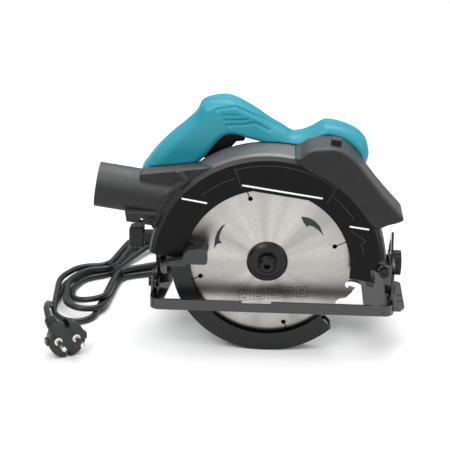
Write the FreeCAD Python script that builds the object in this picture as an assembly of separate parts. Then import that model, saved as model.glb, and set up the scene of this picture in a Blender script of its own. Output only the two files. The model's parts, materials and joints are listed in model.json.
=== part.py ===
import FreeCAD, Part
import math
import os

# Hand-held circular saw for a 185 mm blade. Millimetres, +X to the front, +Z up.
# The working frame has its origin on the arbor: the blade lies in the plane Y = 0 and the motor
# is on the +Y side. ARBOR moves everything to the row frame at the end. Pieces that belong to
# the saw's body are drawn level and then tipped nose down about the arbor by NOSE_DOWN.

V = FreeCAD.Vector
ACROSS = V(0, 1, 0)

# ---- driving dimensions ----
ARBOR = (16.95, -53.5, 95.5)     # arbor in the row frame
NOSE_DOWN = 8.2                  # degrees, body against shoe at the set depth of cut
BLADE_R = 92.5
BLADE_HALF = 0.8                 # half the plate's thickness
TIP_HALF = 1.2                   # half the kerf
TEETH = 24
TOOTH_STEP = 360.0 / TEETH
FIRST_TOOTH = 12.6               # degrees from +X to a tooth's tip
ARBOR_HOLE_R = 8.0

GUARD_R = 118.0                  # upper guard, outside
GUARD_WALL = 2.5
GUARD_NEAR = -16.0               # its open face
GUARD_FAR = 24.0                 # its back, against the gear housing
GUARD_WINDOW_R = 82.0
LOWER_R = 95.5                   # lower guard, outside
LOWER_BAND_R = 77.5              # inner edge of its near band
BOSS_R = 20.0                    # boss that the lower guard turns on
RUN = 0.05                       # radial clearance of a running fit

MODULE = 1.25
GEAR_TEETH = 45
PINION_TEETH = 11
MOTOR_X, MOTOR_Z = -28.0, 21.0   # 35 mm from the arbor, which is the gears' centre distance
MOTOR_R = 37.0
BRUSH_Y = 104.2
LOCK_PIN_R, LOCK_PIN_ANGLE = 18.5, -40.0
CASE_SCREW_ANGLES = (35, 95, 215)

PIVOT_X, PIVOT_Z = 115.6, -2.4   # depth pivot, upright frame
SHOE_Z = -45.3                   # sole of the shoe
SHEET = 2.3
SHOE_X = (-116.0, 127.0)
SHOE_Y = (-25.0, 105.0)
RIM = 11.3                       # height of the shoe's upturned rim
TILT_Y, TILT_Z = 4.0, -28.0      # bevel axis, along X
GUIDE_R = 222.3                  # radius of the depth guide's slot about the depth pivot
BOLT_ANGLE = 177.6               # where the depth bolt sits in that slot

HANDLE_MID = 38.0
HANDLE_NEAR, HANDLE_FAR = 19.0, 57.0
HANDLE_SKIN = 3.0

CORD_R = 3.3
nodes = {}


# ---- drawing helpers ----
def polar(radius, degrees, x=0.0, z=0.0, y=0.0):
    """Point at an angle from +X towards +Z."""
    a = math.radians(degrees)
    return V(x + radius * math.cos(a), y, z + radius * math.sin(a))


def rod(radius, y0, y1, x=0.0, z=0.0):
    return Part.makeCylinder(radius, y1 - y0, V(x, y0, z), ACROSS)


def ring(outer, inner, y0, y1, x=0.0, z=0.0):
    return rod(outer, y0, y1, x, z).cut(rod(inner, y0 - 1, y1 + 1, x, z))


def block(x0, x1, y0, y1, z0, z1):
    return Part.makeBox(x1 - x0, y1 - y0, z1 - z0, V(x0, y0, z0))


def x_rod(radius, x0, x1, y, z):
    return Part.makeCylinder(radius, x1 - x0, V(x0, y, z), V(1, 0, 0))


def rounded_wire(points, radius):
    """Closed wire through the points, every corner rounded as far as its edges allow."""
    edges = []
    tangents = []
    count = len(points)
    for i in range(count):
        corner = points[i]
        back = points[i - 1] - corner
        ahead = points[(i + 1) % count] - corner
        turn = math.pi - back.getAngle(ahead)
        reach = min(radius * math.tan(turn / 2), 0.48 * back.Length, 0.48 * ahead.Length)
        back.normalize()
        ahead.normalize()
        start = corner + back * reach
        end = corner + ahead * reach
        middle = back + ahead
        if reach < 0.05 or middle.Length < 0.02:
            tangents.append((corner, None, corner))
            continue
        r = reach / math.tan(turn / 2)
        centre_gap = math.hypot(r, reach)
        middle.normalize()
        tangents.append((start, corner + middle * (centre_gap - r), end))
    for i in range(count):
        start, middle, end = tangents[i]
        if middle is not None:
            edges.append(Part.Arc(start, middle, end).toShape())
        following = tangents[(i + 1) % count][0]
        if end.distanceToPoint(following) > 1e-6:
            edges.append(Part.LineSegment(end, following).toShape())
    return Part.Wire(edges)


def plate(outline, y0, y1, radius=0.5):
    """Plate across Y from an (x, z) outline."""
    wire = rounded_wire([V(x, y0, z) for x, z in outline], radius)
    return Part.Face(wire).extrude(V(0, y1 - y0, 0))


def x_plate(outline, x0, x1, radius=0.5):
    """Plate across X from a (y, z) outline."""
    wire = rounded_wire([V(x0, y, z) for y, z in outline], radius)
    return Part.Face(wire).extrude(V(x1 - x0, 0, 0))


def flat_plate(outline, z0, z1, radius=0.5):
    """Plate lying flat, from an (x, y) outline."""
    wire = rounded_wire([V(x, y, z0) for x, y in outline], radius)
    return Part.Face(wire).extrude(V(0, 0, z1 - z0))


def fan(outer, inner, a0, a1, y0, y1, x=0.0, z=0.0):
    """Sector of a ring, its angles from +X towards +Z."""
    mid = (a0 + a1) / 2
    wire = Part.Wire([
        Part.Arc(polar(outer, a0, x, z, y0), polar(outer, mid, x, z, y0), polar(outer, a1, x, z, y0)).toShape(),
        Part.LineSegment(polar(outer, a1, x, z, y0), polar(inner, a1, x, z, y0)).toShape(),
        Part.Arc(polar(inner, a1, x, z, y0), polar(inner, mid, x, z, y0), polar(inner, a0, x, z, y0)).toShape(),
        Part.LineSegment(polar(inner, a0, x, z, y0), polar(outer, a0, x, z, y0)).toShape()])
    return Part.Face(wire).extrude(V(0, y1 - y0, 0))


def turned(profile):
    """Solid of revolution about the arbor axis, from (radius, y) corners."""
    corners = [V(r, y, 0) for r, y in profile]
    face = Part.Face(Part.makePolygon(corners + corners[:1]))
    return face.revolve(V(0, 0, 0), ACROSS, 360)


def joined(*shapes):
    result = shapes[0]
    for shape in shapes[1:]:
        result = result.fuse(shape)
    return result.removeSplitter()


def softened(shape, radius, choose):
    """Shape with the chosen edges rounded, or the sharp shape where that fails."""
    edges = [edge for edge in shape.Edges if choose(edge)]
    try:
        rounded = shape.makeFillet(radius, edges)
        if rounded.isValid() and len(rounded.Solids) == len(shape.Solids):
            return rounded
    except Exception:
        pass
    return shape


def upright(name, shape):
    nodes[name] = shape


def on_body(name, shape):
    tipped = shape.copy()
    tipped.rotate(V(0, 0, 0), ACROSS, NOSE_DOWN)
    nodes[name] = tipped


def to_upright(x, z):
    """Level body coordinates to upright ones."""
    a = math.radians(NOSE_DOWN)
    return x * math.cos(a) + z * math.sin(a), z * math.cos(a) - x * math.sin(a)


def to_body(x, z):
    a = math.radians(NOSE_DOWN)
    return x * math.cos(a) - z * math.sin(a), x * math.sin(a) + z * math.cos(a)


def screw(head_r, head_h, shank_r, length, x, z, y, cross=True):
    """Pan-head screw, head towards -Y with its underside at y."""
    head = rod(head_r, y - head_h, y, x, z)
    body = joined(head, rod(shank_r, y, y + length, x, z))
    if cross:
        arm, width = head_r * 0.55, head_r * 0.13
        body = body.cut(block(x - arm, x + arm, y - head_h - 1, y - head_h + 1.2, z - width, z + width))
        body = body.cut(block(x - width, x + width, y - head_h - 1, y - head_h + 1.2, z - arm, z + arm))
    return body


# ---- guards ----
PIVOT_BODY = to_body(PIVOT_X, PIVOT_Z)


def upper_guard():
    near, far, wall = GUARD_NEAR, GUARD_FAR, GUARD_WALL
    ease = 6.0
    shell = turned([
        (GUARD_WINDOW_R, near), (GUARD_R - ease, near), (GUARD_R - ease * 0.3, near + ease * 0.3),
        (GUARD_R, near + ease), (GUARD_R, far), (24.4, far), (24.4, far - wall),
        (GUARD_R - wall, far - wall), (GUARD_R - wall, near + ease), (GUARD_R - ease, near + wall),
        (GUARD_WINDOW_R, near + wall)])
    chord = rod(GUARD_WINDOW_R + 1, near, near + wall).common(block(-40, 40, near, near + wall, 77.3, 90))
    shell = shell.fuse(chord)
    shell = shell.cut(block(-130, 0, near - 1, far + 1, -130, -5.0))
    shell = shell.cut(block(0, 130, near - 1, far + 1, -130, 2.5))
    px, pz = PIVOT_BODY
    shell = shell.cut(rod(13.2, near - 1, far + 1, px, pz))
    root = block(96.6, 103.0, near + 1, far - 1, 15.0, 25.0)
    lug = joined(rod(4.9, -11.0, 12.0, px, pz),
                 plate([(px + 1, pz - 4.8), (px + 1, pz + 4.8), (98, 25), (98, 15.5)], -11.0, 12.0))
    shell = joined(shell, root, lug)
    shell = shell.cut(rod(3.0 + RUN, -12.0, 13.0, px, pz))
    throat = Part.makeCylinder(17.5, 40, V(-128, 2, 51.7), V(1, 0, 0))
    shell = shell.cut(throat)
    for angle in CASE_SCREW_ANGLES:
        spot = polar(32, angle)
        shell = shell.cut(rod(2.2, 20, 25, spot.x, spot.z))
    bolt = to_body(*guide_point(0))
    shell = joined(shell, rod(8.0, far - 1.0, far + 1.5, bolt[0], bolt[1]).common(
        rod(GUARD_R, far - 2, far + 2)))
    return shell.cut(rod(3.0, far - 6.0, far + 3, bolt[0], bolt[1]))


def guide_point(turn, radius=GUIDE_R):
    spot = polar(radius, BOLT_ANGLE + turn, PIVOT_X, PIVOT_Z)
    return spot.x, spot.z


def lower_guard():
    start, end = -190.0, -46.0
    near_band = fan(LOWER_R, LOWER_BAND_R, start, end, -8.0, -6.2)
    wall = fan(LOWER_R, LOWER_R - 1.8, start, end, -8.0, 10.5)
    back = fan(LOWER_R, 24.0, start, end, 8.5, 10.5)
    hub = ring(27.0, BOSS_R + RUN, 8.5, 10.5)
    guard = joined(near_band, wall, back, hub)
    foot = polar(90.0, end + 2, 0, 0)
    return guard.cut(block(foot.x - 2, foot.x + 30, -9.0, -6.0, foot.z + 8, foot.z + 40))


def guard_lever():
    angle = 168.0
    foot = fan(84.0, 61.0, angle - 6, angle + 8, -13.0, -8.0)
    riser = fan(76.5, 61.0, angle - 6, angle + 8, -18.0, -8.0)
    knob = plate([(-84, 7), (-60, 7), (-58.5, 10), (-59.5, 22.5), (-63, 24.5), (-78, 22), (-82, 17)],
                 -30.0, -17.5, 2.5)
    arm = plate([(-104, 3.5), (-96, 8.5), (-80, 12), (-80, 3.5)], -28.0, -20.0, 1.5)
    return joined(foot, riser, knob, arm)


def chip_hood():
    outline = [(8.5, 115), (18, 128), (28, 132), (48, 134), (61, 128), (90, 102), (121, 76), (119, 71), (97, 60),
               (70, 80)]
    hood = plate(outline, -20.0, 20.0, 3.0)
    hood = hood.cut(rod(GUARD_R + 0.1, GUARD_NEAR + 5.8, 40))
    hood = hood.cut(turned([(0, GUARD_NEAR - 0.1), (GUARD_R - 6.0, GUARD_NEAR - 0.1),
                            (GUARD_R - 1.8, GUARD_NEAR + 1.7), (GUARD_R + 0.1, GUARD_NEAR + 5.9), (0, GUARD_NEAR + 5.9)]))
    hood = hood.cut(rod(112.0, -21, -15))
    hollow = plate([(22, 121), (30, 128), (47, 130), (59, 124), (88, 98), (116, 74), (98, 66)], -16.5, 17.0, 2.0)
    hollow = hollow.cut(rod(GUARD_R + 1.5, -30, 40))
    return hood.cut(hollow)


# ---- blade and spindle ----
def blade_outline():
    """Tooth ring: tip, short land, back curve, gullet and hooked face, repeated."""
    points = []
    for tooth in range(TEETH):
        a = FIRST_TOOTH - tooth * TOOTH_STEP
        points += [polar(BLADE_R - 0.4, a), polar(BLADE_R - 1.4, a - 3.2), polar(BLADE_R - 4.0, a - 7.4),
                   polar(BLADE_R - 9.0, a - 10.2), polar(BLADE_R - 11.0, a - 13.2), polar(BLADE_R - 8.6, a - 15.9)]
    return points


def saw_blade():
    face = Part.Face(rounded_wire([V(p.x, -BLADE_HALF, p.z) for p in blade_outline()], 1.8))
    disc = face.extrude(V(0, 2 * BLADE_HALF, 0))
    disc = disc.cut(rod(ARBOR_HOLE_R, -2, 2))
    for quarter in range(4):
        a = 105.4 + 90 * quarter
        hole = polar(69.0, a)
        tip = polar(BLADE_R + 1, a + 2.6)
        run = tip - hole
        slot = block(0, run.Length, -2, 2, -0.55, 0.55)
        slot.rotate(V(0, 0, 0), ACROSS, -math.degrees(math.atan2(run.z, run.x)))
        slot.translate(hole)
        disc = disc.cut(slot).cut(rod(2.4, -2, 2, hole.x, hole.z))
    return disc


def carbide_tips():
    tips = []
    for tooth in range(TEETH):
        a = FIRST_TOOTH + tooth * TOOTH_STEP
        tip = plate([(BLADE_R - 6.5, 0.05), (BLADE_R, 0.05), (BLADE_R - 0.3, -1.9), (BLADE_R - 6.5, -1.7)],
                    -TIP_HALF, TIP_HALF, 0.1)
        tip = tip.common(rod(BLADE_R, -2, 2))
        tip.rotate(V(0, 0, 0), ACROSS, -a - 0.9)
        tips.append(tip)
    return Part.makeCompound(tips)


def involute_gear(teeth, phase, tip_r, root_r, thin, y0, y1, x, z):
    """Straight-toothed gear with involute flanks; thin is each flank's relief in mm."""
    pressure = math.radians(20)
    pitch_r = MODULE * teeth / 2
    base_r = pitch_r * math.cos(pressure)
    inv = math.tan(pressure) - pressure
    half = math.pi / (2 * teeth) + inv - thin / pitch_r
    points = []
    for tooth in range(teeth):
        centre = math.radians(phase) + 2 * math.pi * tooth / teeth
        flank = []
        for k in range(4):
            r = max(base_r, root_r) + (tip_r - max(base_r, root_r)) * k / 3
            roll = math.acos(min(1.0, base_r / r))
            flank.append((r, half - (math.tan(roll) - roll)))
        flank = [(root_r, flank[0][1])] + flank
        for r, off in flank:
            points.append(polar(r, math.degrees(centre - off), x, z, y0))
        for r, off in reversed(flank):
            points.append(polar(r, math.degrees(centre + off), x, z, y0))
    kept = [p for i, p in enumerate(points) if p.distanceToPoint(points[i - 1]) > 1e-4]
    return Part.Face(Part.makePolygon(kept + kept[:1])).extrude(V(0, y1 - y0, 0))


def drive_gear():
    line = math.degrees(math.atan2(MOTOR_Z, MOTOR_X))
    gear = involute_gear(GEAR_TEETH, line, 28.95, 26.3, 0.06, 29, 38, 0, 0)
    gear = gear.cut(rod(6.0, 28, 40)).cut(ring(24, 12, 28.5, 30.5)).cut(ring(24, 12, 36.5, 40))
    for quarter in range(4):
        spot = polar(LOCK_PIN_R, LOCK_PIN_ANGLE + 90 * quarter)
        gear = gear.cut(rod(3.6, 28, 40, spot.x, spot.z))
    return gear


def spindle_lock_button():
    spot = polar(LOCK_PIN_R, LOCK_PIN_ANGLE)
    return joined(rod(3.0, 38.6, 51, spot.x, spot.z), rod(6.5, 50.6, 55.6, spot.x, spot.z))


def motor_pinion():
    line = math.degrees(math.atan2(-MOTOR_Z, -MOTOR_X))
    pinion = involute_gear(PINION_TEETH, line + 180.0 / PINION_TEETH, 8.0, 5.2, 0.06, 28, 39, MOTOR_X, MOTOR_Z)
    return pinion.cut(rod(3.5, 27, 40, MOTOR_X, MOTOR_Z))


# ---- gear housing and motor ----
def housing_outline(grow=0.0):
    big = 36.0 + grow
    other = MOTOR_R + grow
    return joined(rod(big, 24, 46), rod(other, 24, 46, MOTOR_X, MOTOR_Z),
                  plate([(0, -big), (big, 0), (0, big), (MOTOR_X, MOTOR_Z + other), (MOTOR_X - other, MOTOR_Z),
                         (MOTOR_X, MOTOR_Z - other)], 24, 46, 60))


def gear_housing():
    body = housing_outline().common(block(-80, 60, 24, 40, -60, 70))
    boss = joined(rod(23.9, 11, 24.5), rod(BOSS_R, 8.2, 12))
    body = joined(body, boss)
    cavity = joined(rod(31.0, 27, 41), rod(11.0, 27, 41, MOTOR_X, MOTOR_Z))
    body = body.cut(cavity).cut(rod(7.0, 0, 30)).cut(rod(14.0, 12, 20))
    for angle in CASE_SCREW_ANGLES:
        spot = polar(32, angle)
        body = body.cut(rod(1.9, 23, 30, spot.x, spot.z))
    return body


def gear_cover():
    cover = housing_outline().common(block(-80, 60, 40, 46, -60, 70))
    cover = cover.cut(rod(11.0, 39, 45)).cut(rod(11.0, 41, 47, MOTOR_X, MOTOR_Z))
    spot = polar(LOCK_PIN_R, LOCK_PIN_ANGLE)
    return cover.cut(rod(5.0, 39, 47, MOTOR_X, MOTOR_Z)).cut(rod(3.0 + RUN, 39, 47, spot.x, spot.z))


def motor_tube(outer, inner, y0, y1):
    return ring(outer, inner, y0, y1, MOTOR_X, MOTOR_Z)


def motor_housing():
    tube = motor_tube(MOTOR_R, MOTOR_R - 3, 46, 112)
    for side in (-1, 1):
        x = MOTOR_X + side * MOTOR_R
        tube = tube.cut(x_rod(5.5, x - 10, x + 10, BRUSH_Y, MOTOR_Z))
        inner, outer = sorted((x - side * 1.4, x + side * 5))
        tube = tube.cut(x_rod(7.1, inner, outer, BRUSH_Y, MOTOR_Z))
    for row in range(5):
        z = MOTOR_Z - 14 + 7 * row
        tube = tube.cut(block(MOTOR_X - 45, MOTOR_X - 28, 50, 60, z - 1.4, z + 1.4))
    return tube


def motor_end_cap():
    outer = Part.makeCone(MOTOR_R, 30.0, 25, V(MOTOR_X, 112, MOTOR_Z), ACROSS)
    inner = Part.makeCone(MOTOR_R - 3, 27.0, 22, V(MOTOR_X, 111.9, MOTOR_Z), ACROSS)
    cap = outer.cut(inner)
    cap = softened(cap, 2.5, lambda e: e.BoundBox.YMin > 136.5)
    for row in range(7):
        z = MOTOR_Z - 18 + 6 * row
        reach = math.sqrt(24.0 ** 2 - (z - MOTOR_Z) ** 2)
        cap = cap.cut(block(MOTOR_X - reach, MOTOR_X - 11.5, 130, 140, z - 1.5, z + 1.5))
        cap = cap.cut(block(MOTOR_X + 11.5, MOTOR_X + reach, 130, 140, z - 1.5, z + 1.5))
    return joined(cap, motor_tube(11.0, 8.0, 124, 134.5))


def stator():
    core = motor_tube(33.8, 19.0, 62, 98)
    for side in (-1, 1):
        window = fan(30, 19.5, 90 * side - 24, 90 * side + 24, 61, 99, MOTOR_X, MOTOR_Z)
        core = core.cut(window)
    return core


def field_coils():
    coils = []
    for side in (-1, 1):
        coils.append(fan(29.6, 20.0, 90 * side - 22, 90 * side + 22, 57.5, 100, MOTOR_X, MOTOR_Z))
    return Part.makeCompound(coils)


def armature_core():
    core = motor_tube(18.4, 4.0, 63, 97)
    for slot in range(12):
        spot = polar(15.5, 30 * slot + 15, MOTOR_X, MOTOR_Z)
        core = core.cut(rod(1.8, 62, 98, spot.x, spot.z))
    return core


def commutator():
    drum = motor_tube(10.0, 4.0, 100, 111)
    for bar in range(18):
        cut = block(8.6, 11, 99, 112, -0.25, 0.25)
        cut.rotate(V(0, 0, 0), ACROSS, 20 * bar)
        cut.translate(V(MOTOR_X, 0, MOTOR_Z))
        drum = drum.cut(cut)
    return drum


def cooling_fan():
    fan_disc = joined(motor_tube(30.0, 4.0, 49, 50.5), motor_tube(8.0, 4.0, 49, 57))
    for blade in range(11):
        vane = block(7.5, 29.5, 50, 56.5, -0.7, 0.7)
        vane.rotate(V(0, 0, 0), ACROSS, 360.0 / 11 * blade)
        vane.translate(V(MOTOR_X, 0, MOTOR_Z))
        fan_disc = fan_disc.fuse(vane)
    return fan_disc.removeSplitter()


def pair(make):
    return Part.makeCompound([make(-1), make(1)])


def brush_holder(side):
    x = MOTOR_X + side * 23.5
    holder = x_rod(5.4, x - 12.0, x + 12.0, BRUSH_Y, MOTOR_Z)
    return holder.cut(block(x - 13, x + 13, BRUSH_Y - 3.1, BRUSH_Y + 3.1, MOTOR_Z - 3.6, MOTOR_Z + 3.6))


def carbon_brush(side):
    x = MOTOR_X + side * 18.2
    return block(x - 7.9, x + 7.9, BRUSH_Y - 3.0, BRUSH_Y + 3.0, MOTOR_Z - 3.5, MOTOR_Z + 3.5)


def brush_cap(side):
    x = MOTOR_X + side * 37.6
    cap = x_rod(7.0, x - 1.9, x + 1.9, BRUSH_Y, MOTOR_Z)
    slot_x = x + side * 2.0
    return cap.cut(block(slot_x - 0.6, slot_x + 0.6, BRUSH_Y - 8, BRUSH_Y + 8, MOTOR_Z - 0.7, MOTOR_Z + 0.7))


# ---- handle ----
HANDLE_OUTLINE = [(-134, 48), (-138, 62), (-124, 88), (-103, 115), (-94, 126), (-89, 140), (-80, 146), (-62, 149),
                  (-48, 146.5), (-22, 135.5), (2, 123.5), (14, 126), (25, 133), (34, 140.5), (50, 140.8),
                  (64, 136), (75, 128), (80, 118), (77, 104), (58, 98), (34, 92), (26, 60), (22, 46), (-20, 42),
                  (-80, 40), (-112, 40)]
GAP_OUTLINE = [(-88, 70), (-66, 111), (-56, 118), (-40, 116), (-24, 113.5), (-14, 104), (-10, 70)]


def handle_hollow(y0, y1):
    """Space inside the handle shells: their outline drawn in by the skin, less a wall round the finger gap."""
    outer = Part.Face(rounded_wire([V(x, y0, z) for x, z in HANDLE_OUTLINE], 5.0)).makeOffset2D(-HANDLE_SKIN)
    gap = Part.Face(rounded_wire([V(x, y0, z) for x, z in GAP_OUTLINE], 6.0)).makeOffset2D(HANDLE_SKIN)
    return outer.extrude(V(0, y1 - y0, 0)).cut(gap.extrude(V(0, y1 - y0, 0)))


def handle_half(y0, y1):
    solid = plate(HANDLE_OUTLINE, y0, y1, 5.0)
    outer_y = y0 if y0 < HANDLE_MID - 1 else y1
    gap = plate(GAP_OUTLINE, y0 - 1, y1 + 1, 6.0)
    solid = solid.cut(gap)
    solid = softened(solid, 6.0, lambda e: max(abs(e.BoundBox.YMin - outer_y), abs(e.BoundBox.YMax - outer_y)) < 0.01)
    start = y0 + HANDLE_SKIN if y0 < HANDLE_MID - 1 else y0
    solid = solid.cut(handle_hollow(start, start + y1 - y0 - HANDLE_SKIN))
    solid = solid.cut(rod(GUARD_R + 0.4, GUARD_NEAR, GUARD_FAR + 0.2))
    solid = solid.cut(guide_channel())
    solid = solid.cut(housing_outline(0.3)).cut(rod(MOTOR_R + 0.3, 45, 60, MOTOR_X, MOTOR_Z))
    solid = solid.cut(plate(TRIGGER_SLOT, HANDLE_MID - 7.5, HANDLE_MID + 7.5, 1.0))
    solid = solid.cut(rod(4.4, HANDLE_MID + 6, HANDLE_FAR + 2, *LOCK_SPOT))
    if y0 < HANDLE_MID - 1:
        solid = solid.cut(chip_hood()).cut(x_rod(PORT_R + 0.3, -179, -82, PORT_AXIS_Y, PORT_AXIS_Z))
    port = port_block(0.3)
    relief = cord_relief_hole()
    return max(solid.cut(port).cut(relief).Solids, key=lambda s: s.Volume)


def guide_channel():
    """Room for the depth guide behind the guard, in level body coordinates."""
    x, z = PIVOT_BODY
    return fan(GUIDE_R + 8.6, GUIDE_R - 8.8, 150.0, 185.0, GUARD_FAR - 1, 30.0, x, z)


TRIGGER_SLOT = [(-72, 79), (-58, 89), (-47, 105), (-38, 108), (-38, 119), (-50, 123), (-62, 124), (-72, 122),
                (-91, 92), (-84, 82)]
TRIGGER_OUTLINE = [(-80.5, 86), (-73, 83), (-60, 91.5), (-50, 108), (-42.5, 110), (-41.5, 113.5), (-55, 116.5),
                   (-60, 116)]
LOCK_SPOT = (-56.0, 131.0)


def trigger():
    body = plate(TRIGGER_OUTLINE, HANDLE_MID - 7.0, HANDLE_MID + 7.0, 2.0)
    return softened(body, 1.5, lambda e: e.Length > 6 and abs(e.BoundBox.YMax - e.BoundBox.YMin) < 0.01)


def switch_block():
    return plate([(-93, 98), (-86, 94), (-66, 119), (-70, 128)], HANDLE_MID - 9, HANDLE_MID + 9, 1.0)


def lock_off_button():
    return joined(rod(4.1, HANDLE_FAR - 9, HANDLE_FAR + 3.2, *LOCK_SPOT),
                  rod(5.4, HANDLE_FAR - 7.5, HANDLE_FAR - 5.5, *LOCK_SPOT))


# ---- dust port ----
PORT_AXIS_Y, PORT_AXIS_Z = 2.0, 51.7
PORT_R, PORT_BORE_R = 22.0, 18.5
PORT_SOCKET = 40.0               # depth of the socket that a hose end fits


def port_block(grow=0.0):
    """Deck and throat between the round tube and the guard."""
    deck = plate([(-137, 69 + grow), (-76, 86 + grow), (-60, 92 + grow), (-60, 40), (-110, 28),
                  (-137, 34)], -14, 22 + grow, 2.0)
    return deck.cut(rod(GUARD_R + 0.1, -30, 60))


def dust_port():
    tube = Part.makeCylinder(PORT_R, 96, V(-178.5, PORT_AXIS_Y, PORT_AXIS_Z), V(1, 0, 0))
    collar = plate([(-134, 77), (-101, 86.5), (-89, 77), (-96, 70), (-104, 61), (-111, 44), (-114.5, 25), (-144, 25),
                    (-148, 34), (-140, 40)], -19.5, GUARD_NEAR - 0.1, 1.5)
    web = plate([(-148, 36), (-144, 25), (-114, 25), (-110, 40)], -19.5, -10.0, 1.0)
    solid = tube.fuse(port_block()).fuse(web).cut(rod(GUARD_R + 0.1, GUARD_NEAR, 60))
    guard_face = plate([(-101, 100), (-89, 77), (-96, 70), (-104, 61), (-111, 44), (-114.5, 25), (-114.5, 0),
                        (-60, 0), (-60, 100)], -32, GUARD_NEAR - 0.05)
    solid = solid.cut(guard_face).fuse(collar)
    solid = solid.cut(rod(95.0, -30, GUARD_NEAR))
    bore = joined(x_rod(PORT_BORE_R, -180, -178.5 + PORT_SOCKET, PORT_AXIS_Y, PORT_AXIS_Z),
                  x_rod(PORT_BORE_R - 1.5, -150, -90, PORT_AXIS_Y, PORT_AXIS_Z))
    solid = solid.cut(bore.cut(rod(GUARD_R + 0.1, -30, GUARD_NEAR)))
    solid = solid.cut(rod(2.3, -25, 0, -129.5, 29.0))
    return max(solid.removeSplitter().Solids, key=lambda s: s.Volume)


# ---- shoe, bevel and depth gear (upright frame) ----
def base_plate():
    x0, x1 = SHOE_X
    y0, y1 = SHOE_Y
    z = SHOE_Z
    tray = flat_plate([(x0, y0), (x1, y0), (x1, y1), (x0, y1)], z, z + RIM, 9.0)
    t = SHEET
    corners = [(x0 + t, y0 + t), (x1 - t, y0 + t), (x1 - t, y1 - t), (x0 + t, y1 - t)]
    inside = flat_plate(corners, z + t, z + RIM + 1, 6.7)
    tray = tray.cut(inside)
    opening = flat_plate([(-105, -15), (98, -15), (98, 55), (-96, 55)], z - 1, z + 10, 10.0)
    window = flat_plate([(-107, 64), (-97, 62), (-100, 99), (-107, 99)], z - 1, z + 10, 3.0)
    tray = tray.cut(opening).cut(window)
    tray = tray.cut(block(-24, 5, y0 - 1, y0 + 4, z + RIM - 2.5, z + RIM + 1))
    tray = tray.cut(block(104.5, 117.5, y0 - 1, y0 + t + 0.1, z + t + 0.4, z + t + 2.4))
    tray = tray.cut(block(104.5, 117.5, y1 - t - 0.1, y1 + 1, z + t + 0.4, z + t + 2.4))
    tray = tray.cut(block(x1 - 5, x1 + 1, -18, 70, z + t, z + RIM + 1))
    tab = x_plate([(-10, z + t), (18, z + t), (16, -24), (12, -18), (-4, -18), (-8, -24)], x0, x0 + t, 2.0)
    step = block(x1 - 5, x1, -19, 49, z, z + 5.3)
    tongue = flat_plate([(x1 - 4, -19), (x1 + 7, -19), (x1 + 11.5, -12), (x1 + 11.5, 45), (x1 + 8, 49), (x1 - 4, 49)],
                        z + 3.0, z + 5.3, 1.5)
    for y, half in ((0.0, 1.6), (13.8, 1.8)):
        tongue = tongue.cut(block(x1 + 5, x1 + 13, y - half, y + half, z, z + 8))
    shoe = joined(tray, tab, step, tongue)
    return shoe.cut(x_rod(3.1, x0 - 1, x0 + t + 1, TILT_Y, TILT_Z))


def tilt_polar(radius, degrees):
    """(y, z) about the bevel axis, its angle from +Z towards +Y."""
    a = math.radians(degrees)
    return TILT_Y + radius * math.sin(a), TILT_Z + radius * math.cos(a)


def tilt_sector(outer, inner, a0, a1, x0, x1):
    def spot(r, a):
        y, z = tilt_polar(r, a)
        return V(x0, y, z)
    mid = (a0 + a1) / 2
    wire = Part.Wire([
        Part.Arc(spot(outer, a0), spot(outer, mid), spot(outer, a1)).toShape(),
        Part.LineSegment(spot(outer, a1), spot(inner, a1)).toShape(),
        Part.Arc(spot(inner, a1), spot(inner, mid), spot(inner, a0)).toShape(),
        Part.LineSegment(spot(inner, a0), spot(outer, a0)).toShape()])
    return Part.Face(wire).extrude(V(x1 - x0, 0, 0))


QUADRANT_X = (124.3, 126.7)
WALL_X = (121.2, 123.4)
CLAMP_R, CLAMP_ANGLE = 27.2, 36.0


def bevel_quadrant():
    x0, x1 = QUADRANT_X
    low = tilt_sector(33.0, 8.0, -26, 62, x0, x1)
    tall = tilt_sector(57.0, 30.0, 22, 62, x0, x1).cut(tilt_sector(50.0, 38.0, 28, 56, x0 - 1, x1 + 1))
    foot = x_plate([(-14, SHOE_Z + 5.4), (47, SHOE_Z + 5.4), (54, -2), (30, -14), (-9, -6)], x0, x1, 2.0)
    sheet = joined(low, tall, foot, x_rod(10.5, x0, x1, TILT_Y, TILT_Z))
    sheet = sheet.cut(tilt_sector(CLAMP_R + 3.2, CLAMP_R - 3.2, CLAMP_ANGLE - 48, CLAMP_ANGLE + 3, x0 - 1, x1 + 1))
    for angle in (CLAMP_ANGLE - 48, CLAMP_ANGLE + 3):
        y, z = tilt_polar(CLAMP_R, angle)
        sheet = sheet.cut(x_rod(3.2, x0 - 1, x1 + 1, y, z))
    return sheet.cut(x_rod(3.1, x0 - 1, x1 + 1, TILT_Y, TILT_Z))


def tilt_bracket():
    x0, x1 = WALL_X
    wall = joined(x_plate([(-14, 5), (28, 5), (28, -10), (17, -30), (-9, -30), (-14, -16)], x0, x1, 2.0),
                  x_rod(11.0, x0, x1, TILT_Y, TILT_Z))
    ear = [(109.5, 0.5), (112, 5), (x1, 5), (x1, -16), (118, -16)]
    near = plate(ear, -14.0, -11.6, 1.0)
    far = plate(ear, 12.7, 15.1, 1.0)
    bracket = joined(wall, near, far).cut(rod(3.0, -20, 20, PIVOT_X, PIVOT_Z))
    y, z = tilt_polar(CLAMP_R, CLAMP_ANGLE)
    bracket = bracket.cut(x_rod(2.9, x0 - 1, x1 + 1, y, z))
    return bracket.cut(x_rod(3.0, x0 - 1, x1 + 1, TILT_Y, TILT_Z))


def pivot_screw():
    screw_body = screw(5.0, 3.0, 3.0, 33.0, PIVOT_X, PIVOT_Z, -14.0)
    return screw_body


def pivot_nut():
    return ring(4.6, 3.0, 15.1, 18.1, PIVOT_X, PIVOT_Z)


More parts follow.
